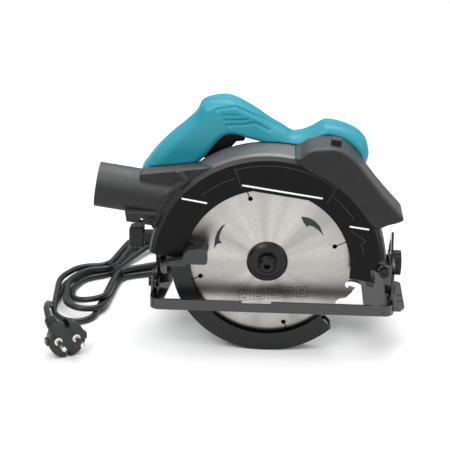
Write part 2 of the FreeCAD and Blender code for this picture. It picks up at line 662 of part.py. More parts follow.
def bevel_rivets():
    x0, x1 = QUADRANT_X
    front = joined(x_rod(3.0, WALL_X[0] - 2.0, x1 + 1.8, TILT_Y, TILT_Z),
                   x_rod(5.5, x1 + 0.1, x1 + 1.9, TILT_Y, TILT_Z),
                   x_rod(5.0, WALL_X[0] - 2.0, WALL_X[0] - 0.1, TILT_Y, TILT_Z))
    rear = joined(x_rod(3.0, -119.0, -108.5, TILT_Y, TILT_Z), x_rod(5.0, -119.0, -116.1, TILT_Y, TILT_Z),
                  x_rod(5.0, -110.9, -108.5, TILT_Y, TILT_Z))
    return Part.makeCompound([front, rear])


def bevel_bolt():
    y, z = tilt_polar(CLAMP_R, CLAMP_ANGLE)
    x = WALL_X[0]
    return joined(x_rod(3.6, x - 0.9, x - 0.05, y, z), x_rod(2.9, x - 0.9, 130.0, y, z))


def bevel_knob():
    y, z = tilt_polar(CLAMP_R, CLAMP_ANGLE)
    x = QUADRANT_X[1] + 0.3
    knob = x_rod(12.6, x, x + 7.6, y, z)
    for flute in range(9):
        a = math.radians(40 * flute)
        knob = knob.cut(x_rod(2.6, x - 1, x + 9, y + 14.0 * math.cos(a), z + 14.0 * math.sin(a)))
    knob = softened(knob, 1.0, lambda e: e.BoundBox.XMin > x + 7.5)
    return knob.cut(x_rod(2.92, x - 1, x + 5.0, y, z))


def depth_guide():
    x, z = PIVOT_X, PIVOT_Z
    arm = fan(GUIDE_R + 7.2, GUIDE_R - 7.6, 167.6, 189.5, 25.8, 28.2, x, z)
    slot = fan(GUIDE_R + 3.2, GUIDE_R - 3.2, BOLT_ANGLE - 8.4, BOLT_ANGLE + 8.6, 25, 29, x, z)
    arm = arm.cut(slot)
    for turn in (-8.4, 8.6):
        spot = guide_point(turn)
        arm = arm.cut(rod(3.2, 25, 29, *spot))
    ear = x_plate([(-7, -31), (-5, -22), (10, -21), (28.2, -25), (28.2, -36), (12, -40), (0, -40)],
                  -113.2, -111.0, 3.0)
    guide = joined(arm, ear)
    return guide.cut(x_rod(3.1, -115, -109, TILT_Y, TILT_Z))


def depth_bolt():
    x, z = guide_point(0)
    return joined(rod(3.0, GUARD_FAR - 5.0, 42.0, x, z), rod(5.5, GUARD_FAR - 6.5, GUARD_FAR - 2.6, x, z))


def depth_lever():
    x, z = guide_point(0)
    hub = rod(9.0, 29.0, 41.5, x, z)
    neck = plate([(x - 24, z + 5), (x, z + 6), (x, z - 6), (x - 24, z - 4)], 33.5, 43.5, 1.5)
    paddle = plate([(-142, -3), (-139, -5), (-128, -5), (-126.5, -2), (-126.5, 17), (-129, 19), (-140, 18),
                    (-142, 15)],
                   33.0, 46.0, 2.0)
    paddle = softened(paddle, 2.0, lambda e: abs(e.BoundBox.YMax - e.BoundBox.YMin) < 0.01)
    return joined(hub, neck, paddle).cut(rod(3.0 + RUN, 28, 43, x, z))


def guide_washer():
    x, z = guide_point(0)
    return ring(7.0, 3.0, 28.3, 28.95, x, z)


# ---- cord, hank and plug (upright frame, lying on the plane the saw stands on) ----
FLOOR = -ARBOR[2]
HANK_HIGH = 19.0
EXIT = V(-108.0, 46.0, 66.0)
RELIEF_TIP = V(-104.0, 63.0, 37.0)
RELIEF_WIDE = 6.2
RELIEF_NARROW = 4.3
CORD_ROUTE = [RELIEF_TIP, V(-102, 74, 19), V(-101, 92, 9), V(-100, 114, 7), V(-99, 134, -5), V(-99, 148, -29),
              V(-101, 160, -58), V(-104.0, 171.0, FLOOR + HANK_HIGH - 1.0)]
PLUG = V(-197.0, -38.0, FLOOR + 19.2)
PLUG_TURN = 28.0
PLUG_R = 19.0
PLUG_CORD_START = V(-209.5, -30.0, FLOOR + 26.0)
TAIL_ROUTE = [V(-218.8, -17.0, FLOOR + 31.8), V(-222.5, -5, FLOOR + 33.5), V(-225, 10, FLOOR + 32.5),
              V(-226.5, 27, FLOOR + 26.5), V(-227.5, 44, FLOOR + 17.5), V(-228, 62, FLOOR + 9.0),
              V(-227, 82, FLOOR + 5.0), V(-219, 100, FLOOR + 4.5)]


def corner_arcs(points):
    """Arc at each inner point of a route: (radius, start, middle, end)."""
    arcs = []
    for i in range(1, len(points) - 1):
        back = points[i - 1] - points[i]
        ahead = points[i + 1] - points[i]
        turn = math.pi - back.getAngle(ahead)
        reach = 0.45 * min(back.Length, ahead.Length)
        radius = reach / math.tan(turn / 2)
        back.normalize()
        ahead.normalize()
        middle = back + ahead
        middle.normalize()
        dip = math.hypot(radius, reach) - radius
        arcs.append((radius, points[i] + back * reach, points[i] + middle * dip, points[i] + ahead * reach))
    return arcs


def cord_tube(points, name):
    edges = []
    here = points[0]
    for radius, start, middle, end in corner_arcs(points):
        edges.append(Part.LineSegment(here, start).toShape())
        edges.append(Part.Arc(start, middle, end).toShape())
        here = end
    edges.append(Part.LineSegment(here, points[-1]).toShape())
    path = Part.Wire(edges)
    direction = points[1] - points[0]
    circle = Part.Wire([Part.makeCircle(CORD_R, points[0], direction)])
    tube = path.makePipeShell([circle], True, False)
    print(name, "radii", [round(arc[0]) for arc in corner_arcs(points)], "length %.0f" % path.Length,
          "volume ratio %.4f" % (tube.Volume / (math.pi * CORD_R ** 2 * path.Length)))
    return tube


def cord_relief():
    run = RELIEF_TIP - EXIT
    return Part.makeCone(RELIEF_WIDE, RELIEF_NARROW, run.Length, EXIT, run)


def cord_relief_hole():
    """Socket in the handle for the strain relief, in level body coordinates."""
    run = RELIEF_TIP - EXIT
    hole = Part.makeCylinder(6.3, run.Length + 14, EXIT - run * 0.35, run)
    hole.rotate(V(0, 0, 0), ACROSS, -NOSE_DOWN)
    return hole


def cord_hank():
    """Outer shape of the tied bundle: two loops of cord drawn in at the tie."""
    outline = [(-231, 110), (-229, 134), (-219, 152), (-205, 164), (-190, 167), (-184, 174), (-182, 192), (-174, 216),
               (-159, 237), (-137, 246), (-114, 246), (-97, 237), (-86, 215), (-86, 196), (-95, 174), (-116, 163),
               (-136, 154), (-152, 147), (-163, 145), (-168, 124), (-174, 102), (-180, 76), (-186, 54), (-193, 40),
               (-206, 35), (-218, 42), (-226, 58), (-230, 85)]
    return flat_plate(outline, FLOOR, FLOOR + HANK_HIGH, 6.0)


def plug_frame(shape):
    """Plug drawn with its pins along -Y at the origin, turned and moved to where it stands."""
    moved = shape.copy()
    moved.rotate(V(0, 0, 0), V(0, 0, 1), PLUG_TURN)
    moved.translate(PLUG)
    return moved


def plug_body():
    body = joined(rod(PLUG_R, 0, 10), Part.makeCone(PLUG_R, 12.5, 7, V(0, 10, 0), ACROSS))
    for side in (-1, 1):
        body = body.cut(block(-2.6, 2.6, -1, 11, side * 16.5 - 3.5, side * 16.5 + 3.5))
        body = body.cut(rod(2.4, -1, 10, side * 9.5, 0))
    return body


def plug_pins():
    pins = []
    for side in (-1, 1):
        pin = joined(rod(2.4, -17.5, 10, side * 9.5, 0), Part.makeSphere(2.4, V(side * 9.5, -17.5, 0)))
        pins.append(plug_frame(pin))
    return Part.makeCompound(pins)


def plug_relief():
    run = TAIL_ROUTE[0] - PLUG_CORD_START
    cone = Part.makeCone(6.6, 4.2, run.Length, PLUG_CORD_START, run).cut(plug_frame(plug_body()))
    return max(cone.Solids, key=lambda s: s.Volume)


# ---- build every node ----
def build_body():
    on_body("upper_guard", upper_guard())
    on_body("chip_hood", chip_hood())
    on_body("hood_clip", block(39.0, 48.5, -9.0, 1.0, 134.2, 140.2).cut(chip_hood()))
    on_body("dust_port", dust_port())
    port_screw_shape = screw(3.6, 2.4, 1.6, 8.0, -120.0, 31.0, -19.6)
    on_body("dust_port_screw", port_screw_shape)
    nodes["dust_port"] = nodes["dust_port"].cut(nodes["dust_port_screw"])
    on_body("gear_housing", gear_housing())
    on_body("gear_cover", gear_cover())
    spots = [polar(32, angle) for angle in CASE_SCREW_ANGLES]
    on_body("guard_screws", Part.makeCompound(
        [screw(3.8, 2.2, 1.9, 7.0, spot.x, spot.z, GUARD_FAR - GUARD_WALL) for spot in spots]))
    on_body("motor_housing", motor_housing())
    on_body("motor_end_cap", motor_end_cap())
    on_body("stator", stator())
    on_body("field_coils", field_coils())
    on_body("brush_holders", pair(brush_holder))
    on_body("carbon_brushes", pair(carbon_brush))
    on_body("brush_caps", pair(brush_cap))
    on_body("spindle_bearings", Part.makeCompound([ring(14.0, 6.0 + RUN, 12, 20), ring(11.0, 6.0 + RUN, 40, 45)]))
    on_body("motor_bearings", Part.makeCompound([motor_tube(11.0, 4.0 + RUN, 41, 46),
                                                motor_tube(8.0, 4.0 + RUN, 125, 132)]))
    on_body("guard_retainer", ring(23.0, 15.0, 6.9, 8.2))
    on_body("handle_near", handle_half(HANDLE_NEAR, HANDLE_MID))
    on_body("handle_far", handle_half(HANDLE_MID, HANDLE_FAR))
    on_body("switch_block", switch_block())
    on_body("handle_screws", Part.makeCompound(
        [screw(3.2, 2.0, 1.5, 12.0, x, z, HANDLE_MID + 3) for x, z in ((-112, 88), (-4, 112), (60, 120))]))
    on_body("guard_bumper", block(101.0, 108.5, -8.0, 8.0, -6.5, 2.4).cut(rod(11.6, -20, 30, *PIVOT_BODY)))
    on_body("guard_spring", Part.makeCompound([ring(26.6, 24.6, 11.2 + 2.1 * k, 13.0 + 2.1 * k) for k in range(4)]))


def build_rotors():
    shaft = joined(rod(6.0, 6.0, 46.0 - 1.2), rod(7.9, -0.9, 0.85), rod(6.9, 0.85, 11.0))
    on_body("spindle", shaft.cut(rod(4.0, -5, 14)))
    on_body("inner_flange", turned([(6.95, 0.85), (20.5, 0.85), (20.5, 3.2), (14.0, 6.2), (6.95, 6.2)]))
    on_body("outer_flange", turned([(4.1, -0.85), (20.5, -0.85), (20.5, -3.0), (17.5, -5.2), (4.1, -5.2)]).cut(
        ring(15.5, 9.8, -8, -4.2)).cut(rod(7.9, -0.95, 1.0)))
    socket = Part.makePolygon([polar(3.6, 60 * k, 0, 0, -13.6) for k in range(7)])
    bolt = joined(turned([(0, -5.3), (9.5, -5.3), (9.5, -9.2), (8.4, -10.6), (6.2, -13.4), (0, -13.4)]),
                  rod(3.95, -5.4, 13))
    on_body("blade_bolt", bolt.cut(Part.Face(socket).extrude(V(0, 5.5, 0))))
    upright("saw_blade", saw_blade())
    upright("carbide_tips", carbide_tips().cut(saw_blade()))
    on_body("drive_gear", drive_gear())
    on_body("armature_shaft", joined(rod(3.5, 27.5, 41, MOTOR_X, MOTOR_Z), rod(4.0, 40.5, 131, MOTOR_X, MOTOR_Z)))
    on_body("motor_pinion", motor_pinion())
    on_body("armature_core", armature_core())
    on_body("commutator", commutator())
    on_body("cooling_fan", cooling_fan())


def build_controls():
    upright("lower_guard", lower_guard())
    upright("guard_lever", guard_lever())
    on_body("trigger", trigger())
    on_body("lock_off_button", lock_off_button())
    on_body("spindle_lock_button", spindle_lock_button())
    upright("depth_bolt", depth_bolt())
    upright("depth_lever", depth_lever())
    upright("guide_washer", guide_washer())
    upright("depth_guide", depth_guide())
    upright("tilt_bracket", tilt_bracket())
    upright("pivot_screw", pivot_screw())
    upright("pivot_nut", pivot_nut())
    upright("bevel_bolt", bevel_bolt())
    upright("bevel_knob", bevel_knob())
    upright("base_plate", base_plate())
    upright("bevel_quadrant", bevel_quadrant())
    upright("bevel_rivets", bevel_rivets())


def build_cord():
    upright("cord_relief", cord_relief())
    upright("cord_run", cord_tube(CORD_ROUTE, "cord_run"))
    upright("cord_hank", cord_hank())
    upright("cord_tail", cord_tube(TAIL_ROUTE, "cord_tail"))
    upright("plug_body", plug_frame(plug_body()))
    upright("plug_pins", plug_pins())
    upright("plug_relief", plug_relief())


build_body()
build_rotors()
build_controls()
build_cord()

os.makedirs("parts", exist_ok=True)
for name, shape in nodes.items():
    placed = shape.copy()
    placed.translate(V(*ARBOR))
    box = placed.BoundBox
    print("%-18s solids %2d valid %s volume %9.0f  x %7.1f %7.1f  y %7.1f %7.1f  z %7.1f %7.1f" % (
        name, len(placed.Solids), placed.isValid(), placed.Volume, box.XMin, box.XMax, box.YMin, box.YMax,
        box.ZMin, box.ZMax))
    placed.exportStep("parts/%s.step" % name)
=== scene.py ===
"""Looks of a corded circular saw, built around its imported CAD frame. All lengths below are in mm unless said."""
import json
import math

import bpy
import numpy as np
from mathutils import Matrix, Vector


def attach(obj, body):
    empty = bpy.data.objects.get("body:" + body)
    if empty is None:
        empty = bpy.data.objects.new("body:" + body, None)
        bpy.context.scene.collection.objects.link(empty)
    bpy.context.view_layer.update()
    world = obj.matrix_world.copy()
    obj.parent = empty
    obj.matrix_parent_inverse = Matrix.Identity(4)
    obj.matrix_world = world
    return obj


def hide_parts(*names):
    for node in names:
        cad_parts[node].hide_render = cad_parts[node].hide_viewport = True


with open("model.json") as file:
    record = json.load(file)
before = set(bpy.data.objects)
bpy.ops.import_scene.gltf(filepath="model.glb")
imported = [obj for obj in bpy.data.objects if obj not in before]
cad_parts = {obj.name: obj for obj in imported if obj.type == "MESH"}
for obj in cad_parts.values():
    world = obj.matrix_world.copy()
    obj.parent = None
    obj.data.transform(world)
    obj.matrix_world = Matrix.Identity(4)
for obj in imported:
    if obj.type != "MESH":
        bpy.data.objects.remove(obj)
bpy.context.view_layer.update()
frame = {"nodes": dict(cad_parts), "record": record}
NODES = frame["nodes"]

ARBOR = Vector((16.95, -53.5, 95.5))    # arbor in the row frame
NOSE_DOWN = math.radians(8.2)           # saw body against its shoe
GUARD_R = 118.0                         # upper guard, outside
GUARD_FACE = -16.0                      # its near face
BLADE_FACE = -0.8
GAP_FIT = 0.1                           # clearance between a shell and the guard


def at(x, y, z):
    """Upright coordinates from the arbor, in mm, to the row frame, in metres."""
    return Vector((x + ARBOR.x, y + ARBOR.y, z + ARBOR.z)) / 1000


# ---- camera ----
def build_camera():
    elevation, roll, distance = math.radians(24.0), math.radians(1.8), 1400.0
    aside, below = 42.2, -36.0           # where the arbor lies from the middle of the view, at its distance
    eye = Vector((0, -distance * math.cos(elevation), distance * math.sin(elevation)))
    right0, up0 = Vector((1, 0, 0)), Vector((0, math.sin(elevation), math.cos(elevation)))
    right = right0 * math.cos(roll) + up0 * math.sin(roll)
    up = up0 * math.cos(roll) - right0 * math.sin(roll)
    forward = (-eye - right * aside - up * below).normalized()
    right = forward.cross(up).normalized()
    up = right.cross(forward)
    data = bpy.data.cameras.new("view")
    data.sensor_width, data.lens = 36.0, 112.0
    data.clip_start, data.clip_end = 0.05, 20.0
    camera = bpy.data.objects.new("view", data)
    bpy.context.scene.collection.objects.link(camera)
    turn = Matrix((right, up, -forward)).transposed().to_4x4()
    camera.matrix_world = Matrix.Translation(at(*eye)) @ turn
    bpy.context.scene.camera = camera


build_camera()
bpy.context.scene.view_settings.view_transform = "Standard"


# ---- materials ----
class Nodes:
    """Short calls for building one material's node tree."""

    def __init__(self, name):
        self.material = bpy.data.materials.new(name)
        self.material.use_nodes = True
        self.tree = self.material.node_tree
        self.shader = self.tree.nodes["Principled BSDF"]
        self.place = self.tree.nodes.new("ShaderNodeTexCoord").outputs["Object"]

    def link(self, source, target):
        self.tree.links.new(source, target)

    def new(self, kind, **settings):
        node = self.tree.nodes.new(kind)
        for key, value in settings.items():
            if key in node.inputs:
                node.inputs[key].default_value = value
            else:
                setattr(node, key, value)
        return node

    def noise(self, scale, detail=3.0, roughness=0.5, place=None):
        node = self.new("ShaderNodeTexNoise", Scale=scale, Detail=detail, Roughness=roughness)
        self.link(place or self.place, node.inputs["Vector"])
        return node.outputs["Fac"]

    def ramp(self, value, *stops):
        node = self.new("ShaderNodeValToRGB")
        ramp = node.color_ramp
        while len(ramp.elements) < len(stops):
            ramp.elements.new(0.5)
        for element, (spot, colour) in zip(ramp.elements, stops):
            element.position = spot
            element.color = (*colour, 1) if len(colour) == 3 else colour
        self.link(value, node.inputs["Fac"])
        return node.outputs["Color"]

    def span(self, value, low, high):
        node = self.new("ShaderNodeMapRange")
        node.inputs["To Min"].default_value, node.inputs["To Max"].default_value = low, high
        self.link(value, node.inputs["Value"])
        return node.outputs["Result"]

    def mix(self, share, first, second):
        node = self.new("ShaderNodeMix", data_type="RGBA")
        self.link(share, node.inputs["Factor"])
        for index, value in ((6, first), (7, second)):
            if isinstance(value, tuple):
                node.inputs[index].default_value = (*value, 1)
            else:
                self.link(value, node.inputs[index])
        return node.outputs[2]

    def maths(self, operation, first, second=None):
        node = self.new("ShaderNodeMath", operation=operation)
        for index, value in enumerate((first, second)):
            if value is None:
                continue
            if isinstance(value, (int, float)):
                node.inputs[index].default_value = value
            else:
                self.link(value, node.inputs[index])
        return node.outputs[0]

    def bump(self, height, strength, distance):
        node = self.new("ShaderNodeBump", Strength=strength, Distance=distance)
        self.link(height, node.inputs["Height"])
        self.link(node.outputs["Normal"], self.shader.inputs["Normal"])


def shade(colour, factor):
    return tuple(min(1.0, c * factor) for c in colour)


def finish(name, colour, rough, metal=0.0, grain=900.0, depth=0.00004, strength=0.25, vary=0.12, blotch=25.0,
           coat=0.0, specular=0.5, rough_vary=0.08, top=None):
    """A moulded, painted or machined surface: fine grain in its bump, blotches in its colour and roughness. With top,
    faces that look up are mixed towards that colour and made glossier: a painted sheen.
    """
    n = Nodes(name)
    cloud = n.noise(blotch, 4.0, 0.55)
    tint = n.ramp(cloud, (0.3, shade(colour, 1 - vary)), (0.7, shade(colour, 1 + vary)))
    n.link(tint, n.shader.inputs["Base Color"])
    n.link(n.span(n.noise(blotch * 3, 3.0), rough - rough_vary, rough + rough_vary), n.shader.inputs["Roughness"])
    n.shader.inputs["Metallic"].default_value = metal
    n.shader.inputs["Specular IOR Level"].default_value = specular
    # top: painted sheen, upward faces lighter and more specular as if lit from above
    if top:
        facing = n.new("ShaderNodeSeparateXYZ")
        n.link(n.new("ShaderNodeTexCoord").outputs["Normal"], facing.inputs[0])
        painted_top_sheen = n.maths("MULTIPLY", n.span(facing.outputs["Z"], 0.0, 1.0), n.span(n.noise(blotch * 2), 0.75, 1.2))
        n.link(n.mix(painted_top_sheen, tint, top), n.shader.inputs["Base Color"])
        n.link(n.span(painted_top_sheen, specular, 0.7), n.shader.inputs["Specular IOR Level"])
    n.shader.inputs["Coat Weight"].default_value = coat
    n.shader.inputs["Coat Roughness"].default_value = 0.2
    n.bump(n.noise(grain, 2.0), strength, depth)
    return n.material


def brushed_disc(name, colour, rough):
    """Steel ground in circles round the arbor, with painted highlights and shade in fans about the arbor, and darker
    towards the rim.
    """
    n = Nodes(name)
    centre = n.new("ShaderNodeVectorMath", operation="SUBTRACT")
    n.link(n.place, centre.inputs[0])
    centre.inputs[1].default_value = at(0, 0, 0)
    flat = n.new("ShaderNodeVectorMath", operation="MULTIPLY")
    n.link(centre.outputs[0], flat.inputs[0])
    flat.inputs[1].default_value = (1, 0, 1)
    length = n.new("ShaderNodeVectorMath", operation="LENGTH")
    n.link(flat.outputs[0], length.inputs[0])
    parts = n.new("ShaderNodeSeparateXYZ")
    n.link(flat.outputs[0], parts.inputs[0])
    angle = n.maths("ARCTAN2", parts.outputs["Z"], parts.outputs["X"])
    polar = n.new("ShaderNodeCombineXYZ")
    n.link(n.maths("MULTIPLY", length.outputs["Value"], 5200.0), polar.inputs[0])
    n.link(n.maths("MULTIPLY", angle, 2.2), polar.inputs[1])
    rings = n.noise(1.0, 5.0, 0.65, polar.outputs[0])
    grain = n.new("ShaderNodeMapping")
    grain.inputs["Rotation"].default_value = (0, math.radians(35), 0)
    grain.inputs["Scale"].default_value = (160, 1, 2600)
    n.link(n.place, grain.inputs["Vector"])
    scratches = n.noise(1.0, 4.0, 0.6, grain.outputs[0])
    both = n.maths("ADD", n.maths("MULTIPLY", rings, 0.5), n.maths("MULTIPLY", scratches, 0.5))
    cloud = n.noise(45.0, 4.0, 0.6)
    # painted conic highlights and shade: fans of lighter and darker steel round the arbor
    sectors = n.new("ShaderNodeCombineXYZ")
    n.link(n.maths("MULTIPLY", angle, 1.35), sectors.inputs[0])
    painted_conic_sheen = n.noise(1.6, 2.0, 0.4, sectors.outputs[0])
    base = n.ramp(both, (0.38, shade(colour, 0.72)), (0.62, shade(colour, 1.3)))
    shaded = n.mix(n.ramp(painted_conic_sheen, (0.35, (0, 0, 0)), (0.65, (0.6, 0.6, 0.6))), base, shade(colour, 0.45))
    # darker towards the rim
    rim = n.ramp(length.outputs["Value"], (0.06, (0, 0, 0)), (0.092, (0.45, 0.45, 0.45)))
    darker_to_rim = n.mix(rim, shaded, shade(colour, 0.5))
    dull = n.mix(n.span(cloud, 0.0, 0.3), darker_to_rim, shade(colour, 0.55))
    n.link(dull, n.shader.inputs["Base Color"])
    n.link(n.span(both, rough - 0.1, rough + 0.16), n.shader.inputs["Roughness"])
    n.shader.inputs["Metallic"].default_value = 1.0
    n.shader.inputs["Anisotropic"].default_value = 0.65
    tangent = n.new("ShaderNodeTangent", direction_type="RADIAL", axis="Y")
    n.link(tangent.outputs[0], n.shader.inputs["Tangent"])
    n.bump(both, 0.12, 0.00003)
    return n.material


# guard_black and hood_grey carry the painted top sheen through top
MATERIALS = {
    "guard_black": finish("guard_black", (0.0028, 0.0028, 0.003), 0.36, grain=1400.0, depth=0.00003, strength=0.3,
                          vary=0.2, specular=0.12, top=(0.12, 0.12, 0.123)),
    "hood_grey": finish("hood_grey", (0.0105, 0.0107, 0.0112), 0.5, grain=1900.0, depth=0.00014, strength=0.6,
                        vary=0.16, blotch=60.0, specular=0.3, top=(0.035, 0.036, 0.038)),
    "alloy": finish("alloy", (0.16, 0.165, 0.17), 0.45, metal=0.8, grain=700.0),
    "teal_plastic": finish("teal_plastic", (0.008, 0.24, 0.31), 0.42, grain=1500.0, depth=0.00005, strength=0.2,
                           vary=0.05, blotch=18.0),
    "black_plastic": finish("black_plastic", (0.006, 0.0063, 0.0066), 0.4, grain=1700.0, depth=0.00006,
                            strength=0.35, specular=0.3),
    "lower_guard_grey": finish("lower_guard_grey", (0.011, 0.0115, 0.0125), 0.36, grain=900.0, vary=0.15,
                               specular=0.3),
    "lever_grey": finish("lever_grey", (0.017, 0.018, 0.019), 0.42, grain=1700.0, depth=0.00006, strength=0.35),
    "blade_steel": brushed_disc("blade_steel", (0.52, 0.5, 0.48), 0.3),
    "carbide": finish("carbide", (0.4, 0.4, 0.41), 0.35, metal=1.0),
    "dark_steel": finish("dark_steel", (0.008, 0.008, 0.0084), 0.34, metal=0.5, grain=1200.0),
    "bright_steel": finish("bright_steel", (0.5, 0.5, 0.5), 0.28, metal=1.0),
    "lamination": finish("lamination", (0.2, 0.2, 0.21), 0.45, metal=0.8),
    "copper": finish("copper", (0.6, 0.24, 0.1), 0.35, metal=0.9),
    "carbon": finish("carbon", (0.02, 0.02, 0.02), 0.6),
    "shoe_black": finish("shoe_black", (0.003, 0.0031, 0.0033), 0.22, grain=500.0, depth=0.00003, strength=0.25,
                         vary=0.2, coat=0.4, specular=0.6),
    "fan_plastic": finish("fan_plastic", (0.08, 0.08, 0.08), 0.5),
    "rubber_black": finish("rubber_black", (0.0075, 0.0085, 0.0098), 0.34, grain=1600.0, depth=0.00005, strength=0.3),
    "plug_brass": finish("plug_brass", (0.72, 0.66, 0.58), 0.22, metal=1.0, vary=0.08),
}
for part in frame["record"]["subparts"]:
    mesh = NODES[part["node"]].data
    mesh.materials.clear()
    mesh.materials.append(MATERIALS[part["material_slot"]])


# ---- mains lead, one line from its relief to the plug ----
CORD_R = 3.3
LEAD_STEP = 6.5                         # spacing of the line's points
ARC_STEP = 0.05                         # radians between points where a corner is turned
RUN = [(-104, 63, 132.5, 0), (-101, 82, 103.5, 30), (-100, 126, 101.5, 30), (-104, 176, 16.7, 28)]
HANK = [                                # corners over the floor, each with the radius it is turned with
    (-104, 236, 16.6, 26), (-160, 246, 12, 24), (-180, 164, 10.2, 20), (-211, 162, 10.3, 28),
    (-230, 128, 10.3, 45), (-225, 46, 6.5, 22), (-203, 27, 3.4, 20), (-182, 46, 3.4, 22), (-171, 153, 3.4, 20),
    (-108, 186, 3.4, 26), (-108, 240, 3.4, 23), (-154, 240, 3.4, 23), (-175, 157, 10.2, 20),
    (-202, 153, 10.3, 24), (-219, 124, 10.3, 40), (-215, 67, 10.2, 22), (-194, 45, 10.2, 20),
    (-174, 64, 8.2, 22), (-171, 92, 3.6, 40), (-164.5, 150, 3.4, 20), (-92, 176, 4.5, 26),
    (-90, 240, 10.2, 22), (-134, 237, 10.2, 22), (-178, 156, 3.4, 22), (-204, 143, 3.4, 26),
    (-214, 116, 3.4, 40), (-210, 86, 5.5, 20.5), (-190, 70, 10.2, 20), (-172, 88, 10.4, 20.5),
    (-167, 151.5, 10.2, 20), (-110, 178, 11.5, 24), (-110, 229, 16.4, 22), (-154, 229, 13, 22),
    (-179, 164, 3.4, 20), (-205, 161, 3.4, 28), (-224, 130, 3.4, 45), (-226, 90, 3.6, 60)]
TAIL = [(-229, 60, 8.5, 40), (-227, 27, 28, 40), (-224.5, 3, 34, 34), (-218.8, -17, 31.8, 0)]


def lead_at(x, y, high):
    """As at(), with the height above the floor."""
    return at(x, y, high - ARBOR.z)


def turned_line(corners, step):
    """The corners joined by arcs of their radii, as evenly spaced points."""
    spots = [Vector(c[:3]) for c in corners]
    line = [spots[0]]
    for before, spot, after, corner in zip(spots, spots[1:], spots[2:], corners[1:-1]):
        come, go = (spot - before).normalized(), (after - spot).normalized()
        turn = come.angle(go)
        inward = (go - come).normalized()
        middle = spot + inward * corner[3] / math.cos(turn / 2)
        pieces = max(2, int(turn / ARC_STEP))
        for i in range(pieces + 1):
            a = turn * (i / pieces - 0.5)
            line.append(middle + corner[3] * (math.sin(a) * (come + go).normalized() - math.cos(a) * inward))
    line.append(spots[-1])
    line = np.array([tuple(p) for p in line])
    far = np.concatenate([[0], np.cumsum(np.linalg.norm(np.diff(line, axis=0), axis=1))])
    stops = np.linspace(0, far[-1], int(far[-1] / step) + 1)
    return np.stack([np.interp(stops, far, line[:, k]) for k in range(3)], 1)


def build_lead():
    data = bpy.data.curves.new("mains_lead", "CURVE")
    data.dimensions = "3D"
    data.bevel_depth, data.bevel_resolution, data.resolution_u = CORD_R / 1000, 6, 4
    data.use_fill_caps = True
    route = [lead_at(*spot) for spot in turned_line(RUN + HANK + TAIL, LEAD_STEP)]
    spline = data.splines.new("NURBS")
    spline.points.add(len(route) - 1)
    for point, place in zip(spline.points, route):
        point.co = (*place, 1)
    spline.order_u = 3
    spline.use_endpoint_u = True
    lead = bpy.data.objects.new("mains_lead", data)
    bpy.context.scene.collection.objects.link(lead)
    data.materials.append(MATERIALS["rubber_black"])
    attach(lead, "saw_body")
    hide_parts("cord_run", "cord_hank", "cord_tail")
    return lead


LEAD = build_lead()


# ---- solids from distance fields ----
def smoothed(points, parts=6):
    """A closed Catmull-Rom curve through the points."""
    out, count = [], len(points)
    for i in range(count):
        a, b, c, d = (np.array(points[(i + k - 1) % count], float) for k in range(4))
        for part in range(parts):
            t = part / parts
            out.append(0.5 * (2 * b + (c - a) * t + (2 * a - 5 * b + 4 * c - d) * t * t
                              + (3 * b - a - 3 * c + d) * t ** 3))
    return [tuple(p) for p in out]


def run_distance(points, x, z, closed=False):
    """Distance in the XZ plane to a line of points."""
    best = np.full(np.broadcast(x, z).shape, 1e9, np.float32)
    for (ax, az), (bx, bz) in zip(points, points[1:] + (points[:1] if closed else [])):
        ex, ez = bx - ax, bz - az
        t = np.clip(((x - ax) * ex + (z - az) * ez) / max(ex * ex + ez * ez, 1e-9), 0, 1)
        best = np.minimum(best, np.hypot(x - ax - ex * t, z - az - ez * t))
    return best


def area_distance(points, x, z):
    """Signed distance in the XZ plane to a closed outline, negative inside it."""
    inside = np.zeros(np.broadcast(x, z).shape, bool)
    for (ax, az), (bx, bz) in zip(points, points[1:] + points[:1]):
        if az == bz:
            continue
        crosses = ((az > z) != (bz > z)) & (x < (bx - ax) * (z - az) / (bz - az) + ax)
        inside ^= crosses
    return np.where(inside, -1, 1) * run_distance(points, x, z, True)


def soft_max(a, b, k):
    h = np.clip(0.5 - 0.5 * (b - a) / k, 0, 1)
    return b + (a - b) * h + k * h * (1 - h)


def soft_min(a, b, k):
    return -soft_max(-a, -b, k)


def slab(across, y, y0, y1, ease):
    """A plate: its outline's distance field, from y0 to y1, with edges eased by a radius."""
    side = np.abs(y - (y0 + y1) / 2) - (y1 - y0) / 2
    a, b = across + ease, side + ease
    return np.minimum(np.maximum(a, b), 0) + np.hypot(np.maximum(a, 0), np.maximum(b, 0)) - ease


